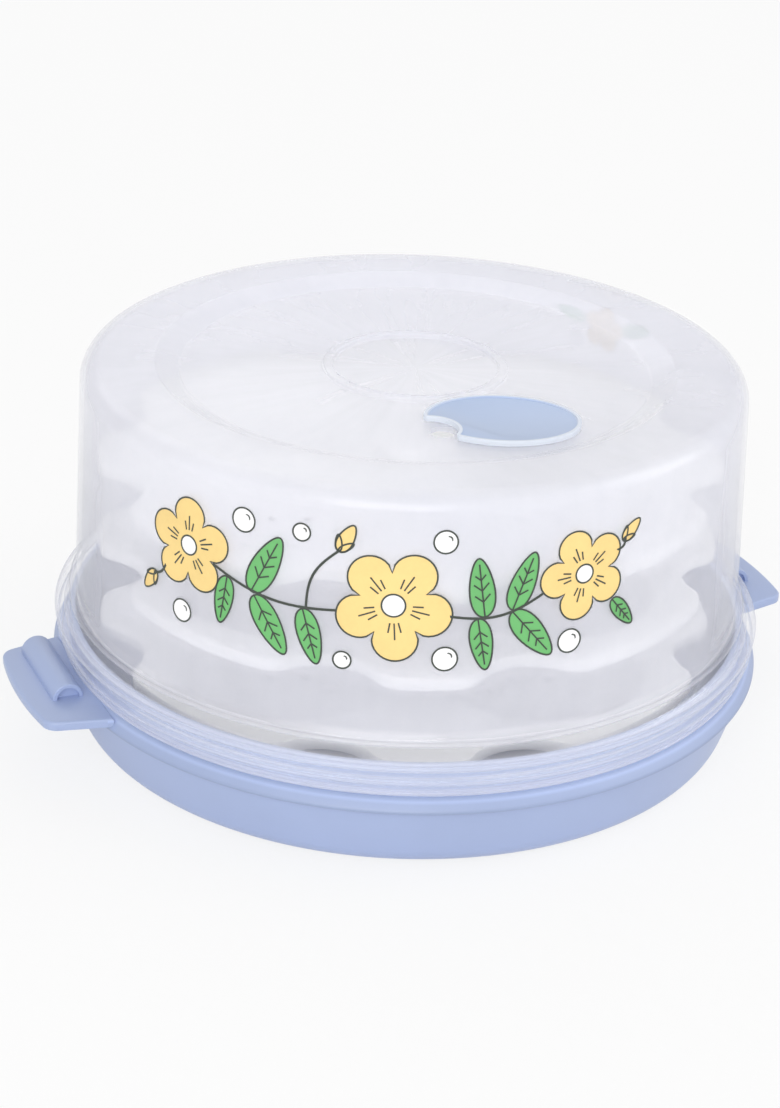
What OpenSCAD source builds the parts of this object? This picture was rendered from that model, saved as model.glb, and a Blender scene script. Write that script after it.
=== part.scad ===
// Idli steamer for a microwave oven: a water dish with two lugs, a stack of
// cup plates, and a translucent domed lid with a turning steam-vent cover.
// Millimetres, +Z up. The origin is the centre of the dish's foot, and the
// lugs lie along X.

/* [Dish] */
// Outer radius of the foot ring
foot_r = 97.8; // [85:0.1:110]
// Width of the foot ring
foot_w = 8; // [4:0.5:20]
// Depth of the hollow inside the foot ring
foot_hollow = 0.8; // [0.4:0.1:1.2]
// Radius of the rounded lower corner
corner_r = 8; // [5:0.5:12]
// Lean of the side away from upright, in degrees
flare = 17; // [8:0.5:20]
// Thickness of the floor and the side
dish_t = 2.2; // [1.8:0.1:3]
// Height of the flange that the lid stands on
flange_z = 26.5; // [22:0.5:32]
// How far the lip stands out past the side
lip_w = 1.8; // [1:0.1:4]
// Height of the lip's upright edge
lip_edge = 1; // [0.6:0.1:2]
// Width of the slope from the flange down to the lip
lip_slope_w = 2.7; // [1.5:0.1:5]
// Drop of the slope from the flange down to the lip
lip_drop = 3.2; // [2:0.1:5]
// Width of the flat seat for the lid's edge
seat_w = 2.7; // [2.4:0.1:5]
// Height of the upstand inside the lid's skirt
upstand_h = 9.5; // [6:0.5:12]
// Thickness of the upstand
upstand_t = 1.8; // [1.4:0.1:2.6]

/* [Lugs] */
// Reach of each lug past the lip
lug_reach = 16.7; // [12:0.1:30]
// Width of each lug at its outer end
lug_w = 48; // [44:0.5:60]
// Lean of the lug's sides, which are wider apart at the dish, in degrees
lug_taper = 12; // [4:0.5:16]
// Radius of the lug's outer corners
lug_corner_r = 5; // [3:0.5:8]
// Thickness of the lug's plate
lug_t = 2; // [1.6:0.1:2.4]
// Depth of the lug's turned-down edge
lug_edge_h = 2.9; // [2.5:0.1:6]
// Thickness of the lug's turned-down edge
lug_edge_t = 1.8; // [1.2:0.1:3]
// Radius of the half-round ridge on the lug
ridge_r = 4.8; // [3.5:0.1:6]
// Length of the ridge
ridge_l = 34; // [24:0.5:36]
// How far the ridge's middle lies to one side of the lug's middle
ridge_shift = 5; // [-5:0.5:5]
// Depth of the hollow in each end of the ridge
ridge_hollow = 1.6; // [1:0.1:4]
// Wall round the hollow in the ridge's end
ridge_t = 1.3; // [0.8:0.1:2]
// Gap between the ridge and the lid's skirt
ridge_gap = 0.4; // [0.3:0.1:3]

/* [Cup plates] */
// Cups in each plate
cups = 4; // [3:1:4]
// Radius of a cup's mouth
cup_r = 34; // [26:0.5:35]
// Depth of a cup
cup_depth = 14; // [9:0.5:17]
// Thickness of the plate and of its cups
plate_t = 1.8; // [1.4:0.1:2.4]
// Room above a cup for the batter to rise
rise_room = 11.8; // [10:0.1:20]
// Gap between the top plate's edge and the lid
plate_gap = 4.6; // [1:0.1:8]
// Width of the plate's border outside the cups
cup_margin = 9; // [8.5:0.1:14]
// Height of the plate's turned-down edge
edge_h = 4; // [3:0.1:6]
// Thickness of the plate's turned-down edge
edge_t = 1.6; // [1.2:0.1:2.4]
// Radius of each steam notch in the plate's border
notch_r = 18; // [12:0.5:22]
// Depth of a steam notch
notch_depth = 10.2; // [7:0.1:11]
// Radius of the rounded corners beside a notch
notch_corner_r = 9; // [5:0.5:10]
// Angle from a cup's middle to the notch beside it
notch_turn = 28; // [27:0.5:30]
// Radius of a steam hole in a cup
steam_hole_r = 1.3; // [1:0.1:2]
// Steam holes on a cup's ring
steam_holes = 8; // [6:1:10]
// Radius of the ring of steam holes
steam_ring_r = 15; // [12:0.5:18]
// Outer radius of the leg under each plate
leg_r = 12; // [10.5:0.1:15]
// Wall of the leg
leg_t = 2; // [1.5:0.1:2.6]
// Height of the boss that the lowest leg stands on
boss_h = 1; // [0.5:0.1:3]
// How far the boss stands out round the leg
boss_w = 2; // [1:0.1:5]
// Height of the spigot that the leg above fits over
spigot_h = 4; // [3:0.1:6]
// Gap between a spigot and the leg round it
spigot_gap = 0.4; // [0.3:0.05:0.6]
// Turn of the plates from the line of the lugs, in degrees
plate_turn = 24.5; // [0:0.5:90]

/* [Lid] */
// Thickness of the lid
lid_t = 1.6; // [1.2:0.1:2]
// Gap between the dish's upstand and the lid's skirt
skirt_gap = 0.5; // [0.4:0.1:1]
// Height of the skirt below the step
skirt_h = 10.2; // [9:0.1:14]
// Outward lean of the skirt, from its edge to the step
skirt_lean = 1.6; // [0.8:0.1:3]
// Width of the step between the skirt and the dome's foot
step_w = 4.2; // [3:0.1:7]
// Height of the step
step_h = 4.8; // [3:0.1:7]
// Width of the flared foot of the dome's wall
foot_flare_w = 1.4; // [0.8:0.1:3]
// Height of the flared foot of the dome's wall
foot_flare_h = 3.2; // [2:0.1:6]
// Draft of the dome's wall, in degrees
draft = 2.1; // [1:0.1:4]
// Radius of the dome's rounded shoulder
shoulder_r = 6; // [4:0.5:9]
// Room above the top plate, under the crown
head_room = 26.8; // [22:0.1:40]
// Rise of the shoulder above the crown's floor
crown_rise = 2.8; // [1.5:0.1:5]
// Width of the slope round the crown's floor
crown_slope_w = 7.5; // [4:0.1:10]
// Radius of the bead at the dome's foot
foot_bead_r = 0.9; // [0.6:0.1:1.2]
// Radius of the bead at the step's edge
step_bead_r = 1.1; // [0.8:0.1:1.4]
// Radius of the bead round the middle of the skirt
skirt_bead_r = 1.4; // [1:0.1:1.6]
// Radius of the bead at the skirt's lower edge
edge_bead_r = 0.8; // [0.6:0.1:1]
// Height of the ring round the middle of the crown
ring_h = 1.5; // [0.8:0.1:2.4]
// Width of the ring round the middle of the crown
ring_w = 3; // [2:0.1:5]

/* [Steam vent] */
// Distance of the vent's centre from the lid's axis
vent_place = 49.4; // [44:0.1:54]
// Direction of the vent from the lid's axis, in degrees
vent_dir = -83; // [-180:1:180]
// Half-length of the vent cover
vent_a = 23.2; // [20:0.1:26]
// Half-width of the vent cover
vent_b = 17.6; // [15:0.1:20]
// Thickness of the vent cover
vent_t = 1.6; // [1.2:0.1:2.4]
// Turn of the cover from the rim's direction, as it stands
vent_turn = -32; // [-40:1:0]
// Largest turn of the cover each way
vent_swing = 40; // [36:1:44]
// Gap between the swinging cover and the crown's middle ring
vent_ring_gap = 0.8; // [0.5:0.1:3]
// Gap between the swinging cover and the crown's slope
vent_slope_gap = 3; // [0.5:0.1:4]
// Radius of the notch in the cover's edge
vent_notch_r = 8.6; // [7.6:0.1:9]
// Distance of the notch's centre from the stem
vent_notch_place = 23.5; // [22.5:0.1:24.5]
// Direction of the notch from the cover's long axis, in degrees
vent_notch_dir = 205; // [198:0.5:208]
// Radius of the steam hole in the crown
vent_hole_r = 4; // [3:0.1:4.5]
// Distance of the steam hole from the stem
vent_hole_place = 19.2; // [18:0.1:20]
// Radius of the stem that the cover turns on
stem_r = 3; // [2.4:0.1:4]
// How far the stem's snap head stands out past the stem
snap_w = 1.2; // [0.6:0.1:1.6]
// How far the snap head's tip is narrower than the stem
snap_tip = 0.8; // [0.4:0.1:1.2]
// Length of the stem's snap head
snap_l = 2.4; // [1.8:0.1:4]

/* [Fits] */
// Gap under each piece that stands on another
seat_gap = 0.3; // [0.2:0.05:0.4]
// Radial running clearance of the vent's stem
stem_fit = 0.08; // [0.05:0.01:0.1]

/* [Hidden] */
$fn = 96;
ROUND = 24;
PLATES = 3;
PALE_BLUE = [0.65, 0.71, 0.85];
NATURAL = [0.90, 0.91, 0.94, 0.5];
WHITE = [0.95, 0.95, 0.95];
BIG = 400;
CUT = 0.01;

// Dish: the side, the lip and the upstand, from the foot outwards
side_z0 = corner_r * (1 - sin(flare));
function side_r(z) = foot_r + corner_r * cos(flare) + (z - side_z0) * tan(flare);
lip_z = flange_z - lip_drop - lip_edge;
lip_r = side_r(lip_z) + lip_w;
flange_r = lip_r - lip_slope_w;
upstand_r = flange_r - seat_w;
upstand_z = flange_z + upstand_h;
bore_r = upstand_r - upstand_t;
inner_corner_r = corner_r - dish_t;
// Height at which the leaning inner side meets the upright bore
inner_side_r0 = foot_r + inner_corner_r * cos(flare);
inner_side_z0 = corner_r - inner_corner_r * sin(flare);
bore_z = inner_side_z0 + (bore_r - inner_side_r0) / tan(flare);

// Plates: one pitch apart, each on the leg under it
pitch = cup_depth + plate_t + rise_room;
boss_z = dish_t + boss_h;
function plate_z(i) = boss_z + (i + 1) * pitch;
top_plate_z = plate_z(PLATES - 1);
bowl_r = (cup_r * cup_r + cup_depth * cup_depth) / (2 * cup_depth);
spigot_r = leg_r - leg_t - spigot_gap;
core_r = spigot_r - leg_t;

// Lid: from the skirt's edge up to the crown
skirt_z = flange_z + seat_gap;
skirt_r = upstand_r + skirt_gap + lid_t;
step_r = skirt_r + skirt_lean;
step_z = skirt_z + skirt_h;
flare_r = step_r - step_w;
flare_z = step_z + step_h;
wall_r = flare_r - foot_flare_w;
wall_z = flare_z + foot_flare_h;
crown_z = top_plate_z + head_room + lid_t;
top_z = crown_z + crown_rise;
shoulder_z = top_z - shoulder_r;
shoulder_wall_r = wall_r - (shoulder_z - wall_z) * tan(draft);
plate_r = wall_r - (top_plate_z - wall_z) * tan(draft) - lid_t - plate_gap;
cup_place = plate_r - cup_margin - cup_r;

// Steam notch: its own circle, and a corner circle on both sides that touches it and the plate's edge
notch_place = plate_r - notch_depth + notch_r;
corner_place = plate_r - notch_corner_r;
corner_reach = notch_r + notch_corner_r;
notch_corner_dir = acos(
    (pow(corner_place, 2) + pow(notch_place, 2) - pow(corner_reach, 2)) / (2 * corner_place * notch_place)
);

// Crown: the floor lies between the middle ring and the slope, and the vent between them
swing_reach = norm([vent_a * sin(vent_swing), vent_b * cos(vent_swing)]);
crown_r = vent_place + swing_reach + vent_slope_gap;
ring_r = vent_place - swing_reach - vent_ring_gap;

// Lugs
lug_r = lip_r + lug_reach;
// Distance of the lug's side line from the origin, and the direction of its corner's centre
lug_side = lug_r * sin(lug_taper) + lug_w / 2 * cos(lug_taper);
lug_corner_dir = asin((lug_side - lug_corner_r) / (lug_r - lug_corner_r)) - lug_taper;
ridge_x = (skirt_r + step_r) / 2 + skirt_bead_r + ridge_gap + ridge_r;

// Points of an arc, from angle a to angle b
function arc(c, r, a, b, n = 6) = [for (i = [0:n]) let (t = a + (b - a) * i / n) c + r * [cos(t), sin(t)]];
// Unit normal to the left of the way from p to q
function left_of(p, q) = let (d = (q - p) / norm(q - p)) [-d[1], d[0]];
// The path moved t to its right, with mitred corners
function beside(path, t) = [
    for (i = [0:len(path) - 1])
        let (last = len(path) - 1)
        let (a = left_of(path[max(i - 1, 0)], path[max(i, 1)]))
        let (b = left_of(path[min(i, last - 1)], path[min(i + 1, last)]))
        let (m = a + b)
        path[i] - t * m * 2 / (m * m)
];
function backwards(path) = [for (i = [len(path) - 1:-1:0]) path[i]];

module bead(r, z, size) {
    rotate_extrude() translate([r, z]) circle(r = size, $fn = ROUND);
}

module base_dish() {
    outside = concat(
        [[0, foot_hollow], [foot_r - foot_w, foot_hollow], [foot_r - foot_w, 0]],
        arc([foot_r, corner_r], corner_r, -90, -flare),
        [
            [side_r(lip_z), lip_z],
            [lip_r, lip_z],
            [lip_r, lip_z + lip_edge],
            [flange_r, flange_z],
            [upstand_r, flange_z],
            [upstand_r, upstand_z],
            [bore_r, upstand_z],
            [bore_r, bore_z]
        ]
    );
    inside = backwards(arc([foot_r, corner_r], inner_corner_r, -90, -flare));
    color(PALE_BLUE) {
        difference() {
            union() {
                rotate_extrude() polygon(concat(outside, inside, [[0, dish_t]]));
                translate([0, 0, dish_t - CUT]) {
                    cylinder(r = leg_r + boss_w, h = boss_h + CUT);
                    cylinder(r = spigot_r, h = boss_h + spigot_h + CUT);
                }
            }
            translate([0, 0, -CUT]) cylinder(r = core_r, h = boss_h + spigot_h + CUT);
        }
        for (side = [0, 1]) mirror([side, 0, 0]) lug();
    }
}

// Outline of a lug, inset all round; the dish covers its inner end
module lug_outline(inset = 0) {
    r = lug_corner_r - inset;
    corner = (lug_r - lug_corner_r) * [cos(lug_corner_dir), sin(lug_corner_dir)];
    half_w = (lug_side - inset - upstand_r * sin(lug_taper)) / cos(lug_taper);
    side = concat(
        [[upstand_r, half_w]],
        arc(corner, r, 90 - lug_taper, lug_corner_dir),
        arc([0, 0], lug_r - inset, lug_corner_dir, 0)
    );
    polygon(concat(side, [for (p = backwards(side)) [p[0], -p[1]]]));
}

module lug() {
    difference() {
        union() {
            translate([0, 0, flange_z - lug_t]) linear_extrude(lug_t) lug_outline();
            translate([0, 0, flange_z - lug_edge_h]) linear_extrude(lug_edge_h) difference() {
                lug_outline();
                lug_outline(lug_edge_t);
            }
        }
        translate([0, 0, -CUT]) cylinder(r = flange_r - CUT, h = BIG);
    }
    ridge();
}

// Half-round ridge along the lug, hollow at both ends
module ridge() {
    translate([ridge_x, ridge_shift, flange_z]) difference() {
        rotate([90, 0, 0]) cylinder(r = ridge_r, h = ridge_l, center = true);
        translate([-BIG / 2, -BIG / 2, -BIG - CUT]) cube(BIG);
        for (s = [-1, 1]) translate([0, s * (ridge_l / 2), 0]) rotate([90, 0, 0])
            cylinder(r = ridge_r - ridge_t, h = 2 * ridge_hollow, center = true);
    }
}

module lid_dome() {
    outside = concat(
        [[0, crown_z], [crown_r, crown_z], [crown_r + crown_slope_w, top_z]],
        arc([shoulder_wall_r - shoulder_r, shoulder_z], shoulder_r, 90, 0),
        [[wall_r, wall_z], [flare_r, flare_z], [step_r, step_z], [skirt_r, skirt_z]]
    );
    bead_z = step_z - skirt_h / 2;
    bead_wall_r = (step_r + skirt_r) / 2;
    color(NATURAL) difference() {
        union() {
            rotate_extrude() polygon(concat(outside, backwards(flat_end(beside(outside, lid_t)))));
            bead(flare_r, flare_z, foot_bead_r);
            bead(step_r, step_z - step_bead_r / 2, step_bead_r);
            bead(bead_wall_r, bead_z, skirt_bead_r);
            bead(skirt_r, skirt_z + edge_bead_r, edge_bead_r);
            translate([0, 0, crown_z - CUT]) difference() {
                cylinder(r = ring_r, h = ring_h);
                translate([0, 0, -CUT]) cylinder(r = ring_r - ring_w, h = BIG);
            }
        }
        lid_inside(outside);
        at_vent() {
            translate([0, 0, -BIG / 2]) cylinder(r = stem_r + stem_fit, h = BIG);
            rotate(vent_turn + vent_notch_dir) translate([vent_hole_place, 0, -BIG / 2])
                cylinder(r = vent_hole_r, h = BIG);
        }
    }
}

// The last point of a path brought level with the skirt's edge
function flat_end(path) = [
    for (i = [0:len(path) - 1]) i < len(path) - 1 ? path[i] : [path[i][0], skirt_z]
];

// The hollow of the lid, which trims the beads' inner halves
module lid_inside(outside) {
    inner = flat_end(beside(outside, lid_t));
    low = [inner[len(inner) - 1][0], skirt_z - 2 * CUT];
    rotate_extrude() polygon(concat(inner, [low, [0, low[1]]]));
}

// Frame of the vent: its origin on the crown's floor, X along the rim's direction
module at_vent() {
    rotate(vent_dir) translate([vent_place, 0, crown_z]) rotate(90) children();
}

module vent_cover() {
    head_z = -lid_t - seat_gap;
    color(PALE_BLUE) at_vent() rotate(vent_turn) {
        translate([0, 0, seat_gap]) linear_extrude(vent_t) difference() {
            vent_outline();
            rotate(vent_notch_dir) translate([vent_notch_place, 0]) circle(r = vent_notch_r);
        }
        translate([0, 0, head_z - CUT]) cylinder(r = stem_r, h = seat_gap - head_z + 2 * CUT);
        translate([0, 0, head_z - snap_l])
            cylinder(r1 = stem_r - snap_tip, r2 = stem_r + snap_w, h = snap_l);
    }
}

// Oval of the vent cover from four arcs that meet smoothly
module vent_outline() {
    end_r = vent_b * vent_b / vent_a;
    end_x = vent_a - end_r;
    flat_r = (end_x * end_x + vent_b * vent_b - end_r * end_r) / (2 * (vent_b - end_r));
    meet_x = end_x * flat_r / (flat_r - end_r);
    for (s = [-1, 1]) translate([s * end_x, 0]) circle(r = end_r);
    intersection() {
        translate([0, vent_b - flat_r]) circle(r = flat_r);
        translate([0, flat_r - vent_b]) circle(r = flat_r);
        square([2 * meet_x, 2 * vent_b], center = true);
    }
}

// Outline of a plate, inset all round, with a steam notch on both sides of each cup
module plate_outline(inset = 0) {
    difference() {
        circle(r = plate_r - inset);
        for (i = [0:cups - 1], s = [-1, 1]) rotate(i * 360 / cups + s * notch_turn) notch(inset);
    }
}

// What a notch takes out of the plate: its circle, and a rounded corner on both sides
module notch(inset) {
    translate([notch_place, 0]) circle(r = notch_r + inset);
    for (s = [-1, 1]) {
        dir = [cos(notch_corner_dir), s * sin(notch_corner_dir)];
        difference() {
            polygon([corner_place * dir, BIG * dir, [notch_place, 0]]);
            translate(corner_place * dir) circle(r = notch_corner_r - inset);
        }
    }
}

module at_cups() {
    for (i = [0:cups - 1]) rotate(i * 360 / cups) translate([cup_place, 0, 0]) children();
}

// A plate with its top at z 0
module idli_plate() {
    bowl_z = bowl_r - cup_depth;
    difference() {
        union() {
            translate([0, 0, -plate_t]) linear_extrude(plate_t) plate_outline();
            translate([0, 0, -edge_h]) linear_extrude(edge_h) difference() {
                plate_outline();
                plate_outline(edge_t);
            }
            at_cups() intersection() {
                translate([0, 0, bowl_z]) sphere(r = bowl_r + plate_t);
                translate([0, 0, -BIG]) cylinder(r = cup_r + plate_t, h = BIG);
            }
            translate([0, 0, seat_gap - pitch]) cylinder(r = leg_r, h = pitch - seat_gap);
            cylinder(r = spigot_r, h = spigot_h);
        }
        at_cups() {
            translate([0, 0, bowl_z]) sphere(r = bowl_r);
            for (i = [0:steam_holes - 1]) rotate((i + 0.5) * 360 / steam_holes)
                translate([steam_ring_r, 0, -BIG / 2]) cylinder(r = steam_hole_r, h = BIG, $fn = ROUND);
            translate([0, 0, -BIG / 2]) cylinder(r = steam_hole_r, h = BIG, $fn = ROUND);
        }
        translate([0, 0, -plate_t - BIG]) cylinder(r = leg_r - leg_t, h = BIG);
        translate([0, 0, -plate_t - CUT]) cylinder(r = core_r, h = spigot_h + CUT);
    }
}

module stacked_plate(i) {
    color(WHITE) rotate(plate_turn) translate([0, 0, plate_z(i)]) idli_plate();
}

module idli_plate_bottom() {
    stacked_plate(0);
}

module idli_plate_middle() {
    stacked_plate(1);
}

module idli_plate_top() {
    stacked_plate(2);
}

base_dish();
lid_dome();
vent_cover();
idli_plate_bottom();
idli_plate_middle();
idli_plate_top();
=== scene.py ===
"""Visible model of an idli steamer: the dish, the lid, its vent cover and print, and the cup plates."""

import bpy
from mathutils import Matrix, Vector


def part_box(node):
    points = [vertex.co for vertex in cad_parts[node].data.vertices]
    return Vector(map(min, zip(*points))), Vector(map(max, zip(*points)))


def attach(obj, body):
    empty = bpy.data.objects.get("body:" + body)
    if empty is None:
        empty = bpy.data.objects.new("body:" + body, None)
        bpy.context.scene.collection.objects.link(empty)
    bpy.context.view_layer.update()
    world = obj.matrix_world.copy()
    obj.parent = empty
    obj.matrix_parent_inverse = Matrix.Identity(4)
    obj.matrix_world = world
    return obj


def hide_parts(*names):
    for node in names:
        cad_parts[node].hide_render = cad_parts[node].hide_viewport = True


bl_info = {
    "name": "Idli steamer",
    "version": (1, 0, 0),
    "blender": (4, 5, 0),
    "location": "3D View > Sidebar > Idli steamer",
    "description": "Makes the moulded pieces of a microwave idli steamer, their finishes and the studio",
    "category": "Object",
}

import math

import bmesh
import bpy
from bpy.props import FloatProperty, FloatVectorProperty, PointerProperty
from mathutils import Matrix, Vector

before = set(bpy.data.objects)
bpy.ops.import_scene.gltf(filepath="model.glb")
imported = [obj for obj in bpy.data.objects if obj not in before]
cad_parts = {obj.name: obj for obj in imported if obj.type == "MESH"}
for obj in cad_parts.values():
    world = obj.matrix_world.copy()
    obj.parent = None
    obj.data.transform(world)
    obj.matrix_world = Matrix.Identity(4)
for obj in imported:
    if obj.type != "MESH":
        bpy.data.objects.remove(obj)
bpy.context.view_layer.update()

MM = 0.001
TINY = 1e-6
SPIN_STEPS = 192
CORNER_STEPS = 5
SMOOTH_ANGLE = math.radians(32)
NOISE_RANGE = (0.3, 0.8)
LID_LOW, LID_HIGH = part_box("lid_dome")
PLATES = (
    ("idli_plate_bottom", "plate_bottom"),
    ("idli_plate_middle", "plate_middle"),
    ("idli_plate_top", "plate_top"),
)


def length(name, millimetres, description):
    """A length property with its default in millimetres."""
    return FloatProperty(
        name=name, description=description, default=millimetres * MM, min=0.0, precision=5, unit="LENGTH"
    )


def colour(name, value, description):
    """A colour property."""
    return FloatVectorProperty(
        name=name, description=description, default=value, min=0.0, max=1.0, size=3, subtype="COLOR"
    )


def degrees(name, value, description):
    """An angle property with its default in degrees."""
    return FloatProperty(name=name, description=description, default=math.radians(value), subtype="ANGLE")


def fraction(name, value, description):
    """A property from 0 to 1."""
    return FloatProperty(
        name=name, description=description, default=value, min=0.0, max=1.0, subtype="FACTOR"
    )


class DishSizes(bpy.types.PropertyGroup):
    """Sizes of the water dish"""

    foot_r: length("Foot radius", 97.8, "Outer radius of the foot ring")
    foot_w: length("Foot width", 8.0, "Width of the foot ring")
    foot_hollow: length("Foot hollow", 0.8, "Depth of the hollow inside the foot ring")
    corner_r: length("Corner radius", 8.0, "Radius of the rounded lower corner")
    wall: length("Wall", 2.2, "Thickness of the floor and the side")
    side_lean: degrees("Side lean", 17, "Lean of the side from upright")
    lip_r: length("Lip radius", 112.3284, "Outer radius of the lip")
    lip_overhang: length("Lip overhang", 1.8, "How far the lip stands out from the side")
    lip_low: length("Lip underside", 22.3, "Height of the lip's underside")
    lip_edge: length("Lip edge", 1.0, "Height of the lip's upright edge")
    lip_slope: length("Lip slope", 2.7, "Width of the slope from the flange to the lip")
    flange_z: length("Flange height", 26.5, "Height of the flange that the lid stands on")
    seat_w: length("Seat width", 2.7, "Width of the flat seat for the lid's edge")
    upstand: length("Upstand", 1.8, "Thickness of the upstand inside the lid's skirt")
    upstand_h: length("Upstand height", 9.5, "Height of the upstand above the flange")
    boss_r: length("Boss radius", 14.0, "Radius of the boss that the lowest leg stands on")
    boss_h: length("Boss height", 1.0, "Height of the boss above the floor")
    spigot_r: length("Spigot radius", 9.6, "Radius of the spigot inside the lowest leg")
    spigot_h: length("Spigot height", 4.0, "Height of the spigot above the boss")
    spigot_wall: length("Spigot wall", 2.0, "Wall of the hollow spigot")


class LugSizes(bpy.types.PropertyGroup):
    """Sizes of the lugs"""

    reach: length("Reach", 129.037, "Distance of the lug's outer edge from the axis")
    half_w: length("Half width", 24.0, "Half the width at the outer end")
    taper: degrees("Taper", 12, "Lean of the lug's sides")
    corner_r: length("Corner radius", 5.0, "Radius of the outer corners")
    plate: length("Plate", 2.0, "Thickness of the lug's plate")
    edge_h: length("Edge height", 2.9, "Depth of the turned-down edge")
    edge_w: length("Edge width", 1.8, "Thickness of the turned-down edge")
    round_r: length("Top rounding", 0.9, "Rounding of the upper rim")
    ridge_r: length("Ridge radius", 4.8, "Radius of the half-round ridge")
    ridge_x: length("Ridge place", 116.437, "Distance of the ridge from the axis")
    ridge_l: length("Ridge length", 34.0, "Length of the ridge")
    ridge_shift: length("Ridge shift", 5.0, "How far the ridge's middle lies to one side")
    ridge_wall: length("Ridge wall", 1.3, "Wall round the hollow in the ridge's end")
    ridge_hollow: length("Ridge hollow", 1.6, "Depth of the hollow in the ridge's end")


class LidSizes(bpy.types.PropertyGroup):
    """Sizes of the domed lid"""

    wall: length("Wall", 1.6, "Thickness of the lid")
    skirt_r: length("Skirt radius", 109.0384, "Outer radius of the skirt's lower edge")
    skirt_lean: length("Skirt lean", 1.6, "Outward lean of the skirt")
    skirt_h: length("Skirt height", 10.2, "Height of the skirt below the step")
    step_w: length("Step width", 4.2, "Width of the step")
    step_h: length("Step height", 4.8, "Height of the step")
    flare_w: length("Flare width", 1.4, "Width of the flared foot of the wall")
    flare_h: length("Flare height", 3.2, "Height of the flared foot of the wall")
    draft: degrees("Draft", 2.1, "Lean of the dome's wall")
    shoulder_r: length("Shoulder radius", 6.0, "Radius of the rounded shoulder")
    crown_rise: length("Crown rise", 2.8, "Rise of the shoulder above the crown's floor")
    crown_r: length("Crown radius", 72.49, "Radius of the crown's flat floor")
    crown_slope: length("Crown slope", 7.5, "Width of the slope round the crown's floor")
    ring_r: length("Ring radius", 28.51, "Outer radius of the ring in the middle of the crown")
    ring_w: length("Ring width", 3.0, "Width of the ring")
    ring_h: length("Ring height", 1.5, "Height of the ring")
    foot_bead: length("Foot bead", 0.9, "Radius of the bead at the dome's foot")
    step_bead: length("Step bead", 1.1, "Radius of the bead at the step's edge")
    skirt_bead: length("Skirt bead", 1.4, "Radius of the bead round the skirt")
    edge_bead: length("Edge bead", 0.8, "Radius of the bead at the skirt's lower edge")


class VentSizes(bpy.types.PropertyGroup):
    """Sizes of the turning vent cover"""

    place: length("Place", 49.4, "Distance of the stem from the lid's axis")
    direction: degrees("Direction", -83, "Direction of the stem from the lid's axis")
    turn: degrees("Turn", -25, "Direction of the cover's long axis")
    half_l: length("Half length", 23.2, "Half the length of the cover")
    half_w: length("Half width", 17.6, "Half the width of the cover")
    thick: length("Thickness", 1.6, "Thickness of the cover")
    rim_w: length("Rim width", 1.1, "Width of the raised rim")
    rim_h: length("Rim height", 0.45, "Height of the raised rim above the cover's face")
    gap: length("Gap", 0.3, "Gap between the cover and the crown")
    notch_r: length("Notch radius", 8.6, "Radius of the notch")
    notch_place: length("Notch place", 23.5, "Distance of the notch's centre from the stem")
    notch_turn: degrees("Notch direction", 205, "Direction of the notch from the long axis")
    corner_r: length("Corner radius", 1.5, "Radius of the corners beside the notch")
    hole_r: length("Hole radius", 4.0, "Radius of the steam hole in the crown")
    hole_place: length("Hole place", 19.2, "Distance of the steam hole from the stem")
    stem_r: length("Stem radius", 3.0, "Radius of the stem")
    stem_fit: length("Stem clearance", 0.08, "Radial clearance of the stem")
    snap_r: length("Snap radius", 4.2, "Largest radius of the snap head")
    snap_tip_r: length("Snap tip radius", 2.2, "Radius of the snap head's tip")
    snap_l: length("Snap length", 2.4, "Length of the snap head")


class PrintSizes(bpy.types.PropertyGroup):
    """Sizes of the printed garland"""

    direction: degrees("Direction", -119, "Direction of the garland's middle")
    middle_z: length("Middle height", 86.5, "Height of the garland's middle")
    back_direction: degrees("Back direction", 27, "Direction of the sprig on the back")
    back_z: length("Back height", 99.0, "Height of the sprig's middle")
    line: length("Line", 0.5, "Width of the outlines")
    ink: length("Ink", 0.04, "Thickness of one layer of ink")


class SteamerFinish(bpy.types.PropertyGroup):
    """Colours and finish of the steamer"""

    dish: colour("Dish", (0.375, 0.452, 0.675), "Pale blue of the dish")
    lid: colour("Lid", (0.80, 0.805, 0.89), "Natural tone of the lid")
    vent: colour("Vent cover", (0.44, 0.54, 0.75), "Light blue of the vent cover")
    # Paler tone painted on the vent cover's rim and notch edge as a highlight
    vent_rim_highlight: colour("Vent edges", (0.72, 0.77, 0.87), "Paler tone of the cover's thin rim and notch edge")
    plate: colour("Plates", (0.92, 0.92, 0.93), "White of the cup plates")
    green: colour("Leaf green", (0.155, 0.48, 0.16), "Green ink")
    yellow: colour("Flower yellow", (0.90, 0.66, 0.26), "Yellow ink")
    white: colour("Berry white", (0.92, 0.92, 0.92), "White ink")
    dark: colour("Outline", (0.05, 0.06, 0.05), "Dark ink of the outlines")
    lid_cover: fraction("Lid cover", 0.46, "How much one wall surface of the lid hides")
    lid_clear: fraction("Lid clearness", 0.25, "How much of the lid's body lets light through")
    lid_rough: fraction("Lid roughness", 0.12, "Roughness of the lid")
    lid_skirt: fraction("Skirt cover", 0.38, "How much of the wall's cover the skirt has between its beads")
    lid_shade: fraction("Lid shade", 0.08, "How much of the lid's cover its shadow has")
    lid_bead: FloatProperty(
        name="Bead cover", description="How many times the wall's cover the thick beads have",
        default=1.15, min=0.5, max=1.6
    )


GROUPS = {
    "steamer_dish": DishSizes,
    "steamer_lugs": LugSizes,
    "steamer_lid": LidSizes,
    "steamer_vent": VentSizes,
    "steamer_print": PrintSizes,
    "steamer_finish": SteamerFinish,
}


# Paths, as lists of 2-D points

def polar(radius, angle):
    return Vector((radius * math.cos(angle), radius * math.sin(angle)))


def arc(centre, radius, start, end, steps=CORNER_STEPS):
    """Points of an arc between two angles in radians."""
    return [Vector(centre) + polar(radius, start + (end - start) * i / steps) for i in range(steps + 1)]


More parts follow.
